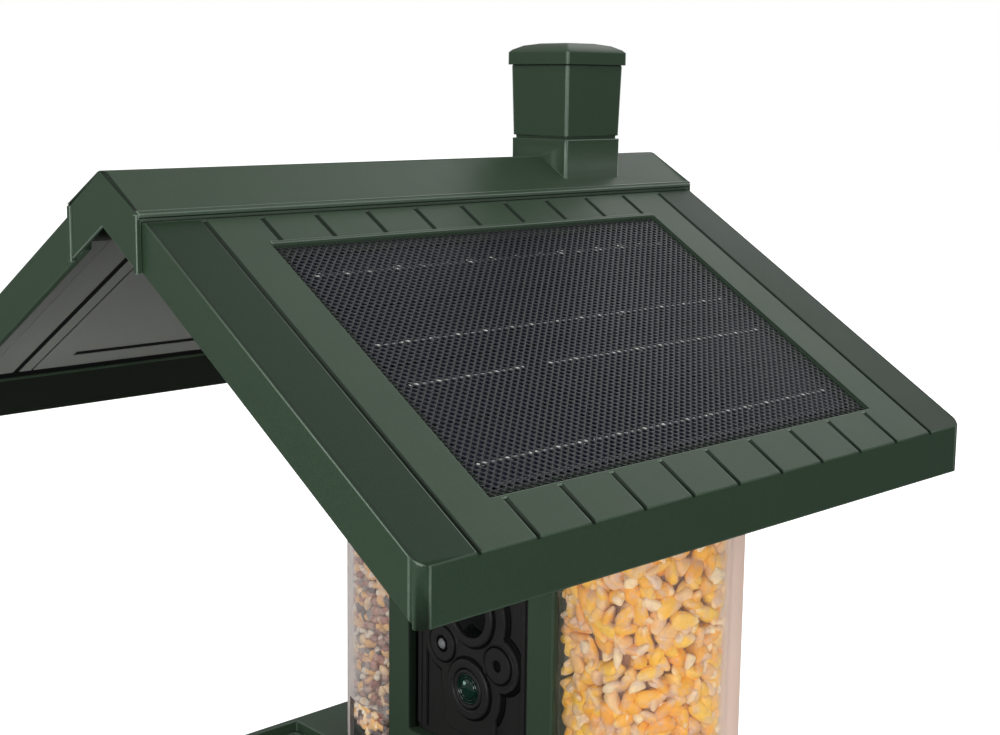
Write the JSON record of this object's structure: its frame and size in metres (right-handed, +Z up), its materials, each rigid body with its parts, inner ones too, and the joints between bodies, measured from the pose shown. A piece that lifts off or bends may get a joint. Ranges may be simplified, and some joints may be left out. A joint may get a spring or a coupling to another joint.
{
  "type": "smart bird feeder",
  "caption": "Gabled bird feeder with hinged solar roof slopes, clear seed hoppers, a slide-out camera between them and a pull-out seed tray.",
  "frame": {"origin": "on the ground under the middle of the roof", "axes": "+Z up, +Y along the ridge to the back, +X to the right of someone facing the camera"},
  "size_m": [0.2982, 0.2542, 0.3219],
  "materials": {
    "roof_green": "satin moulded plastic",
    "body_green": "satin moulded plastic",
    "frame_green": "satin moulded plastic",
    "mesh_black": "black perforated sheet",
    "solar_cells": "laminated cells",
    "lining_grey": "satin",
    "clear_plastic": "clear",
    "corn": "whole and cracked maize",
    "mixed_seed": "mixed wild bird seed",
    "chute_grey": "satin",
    "camera_black": "satin black",
    "dark_window": "gloss",
    "lens_glass": "coated",
    "status_white": "milky",
    "circuit": "solder resist",
    "battery_wrap": "shrink wrap on steel",
    "rubber": "matte",
    "steel": "zinc plated"
  },
  "bodies": {
    "root": {"ridge_cap": "roof_green", "ridge_beam": "lining_grey", "hanging_eye": "steel", "hinge_pin_right": "steel", "hinge_pin_left": "steel", "column_frame": "body_green", "column_shell": "body_green", "charge_board": "circuit", "rear_cover": "body_green", "cover_screw_low": "steel", "cover_screw_high": "steel", "wall_bracket": "frame_green", "bracket_screw_right": "steel", "bracket_screw_left": "steel", "hopper_right": "clear_plastic", "hopper_left": "clear_plastic", "seed_chute_right": "chute_grey", "seed_chute_left": "chute_grey", "corn_fill": "corn", "mixed_seed_fill": "mixed_seed", "base": "body_green", "foot_front_right": "rubber", "foot_front_left": "rubber", "foot_back_right": "rubber", "foot_back_left": "rubber"},
    "roof_right": {"roof_panel_right": "roof_green", "solar_screen_right": "mesh_black", "solar_panel_right": "solar_cells", "roof_lining_right": "lining_grey"},
    "roof_left": {"roof_panel_left": "roof_green", "solar_screen_left": "mesh_black", "solar_panel_left": "solar_cells", "roof_lining_left": "lining_grey"},
    "chimney": {"chimney_shaft": "roof_green", "chimney_lid": "roof_green"},
    "camera": {"camera_front": "camera_black", "camera_back": "camera_black", "camera_seal": "rubber", "camera_screw_right": "steel", "camera_screw_left": "steel", "motion_ring": "camera_black", "motion_window": "dark_window", "motion_sensor": "steel", "lens_ring": "camera_black", "lens_window": "lens_glass", "lens_barrel": "camera_black", "status_light": "status_white", "microphone": "steel", "main_board": "circuit", "battery_right": "battery_wrap", "battery_left": "battery_wrap", "battery_holder": "camera_black", "charging_socket": "steel"},
    "power_button": {"power_button": "camera_black"},
    "socket_cover": {"socket_cover": "rubber"},
    "seed_tray": {"seed_tray": "body_green", "drain_screen": "mesh_black", "perch": "body_green"}
  },
  "joints": [
    {"name": "roof_right_hinge", "type": "hinge", "parent": "root", "child": "roof_right", "pos_m": [0.02315, 0, 0.25957], "axis": [0, -1, 0], "range_deg": [0, 80]},
    {"name": "roof_left_hinge", "type": "hinge", "parent": "root", "child": "roof_left", "pos_m": [-0.02315, 0, 0.25957], "axis": [0, 1, 0], "range_deg": [0, 80]},
    {"name": "chimney_lift", "type": "slide", "parent": "root", "child": "chimney", "axis": [0, 0, 1], "range_m": [0, 0.045]},
    {"name": "camera_slide", "type": "slide", "parent": "root", "child": "camera", "axis": [0, -1, 0], "range_m": [0, 0.05]},
    {"name": "power_button_press", "type": "slide", "parent": "camera", "child": "power_button", "axis": [0, 1, 0], "range_m": [0, 0.0012], "stiffness_N_per_m": 400},
    {"name": "socket_cover_hinge", "type": "hinge", "parent": "camera", "child": "socket_cover", "pos_m": [-0.012, 0.0291, 0.1545], "axis": [-1, 0, 0], "range_deg": [0, 110]},
    {"name": "tray_slide", "type": "slide", "parent": "root", "child": "seed_tray", "axis": [0, -1, 0], "range_m": [0, 0.09]}
  ]
}
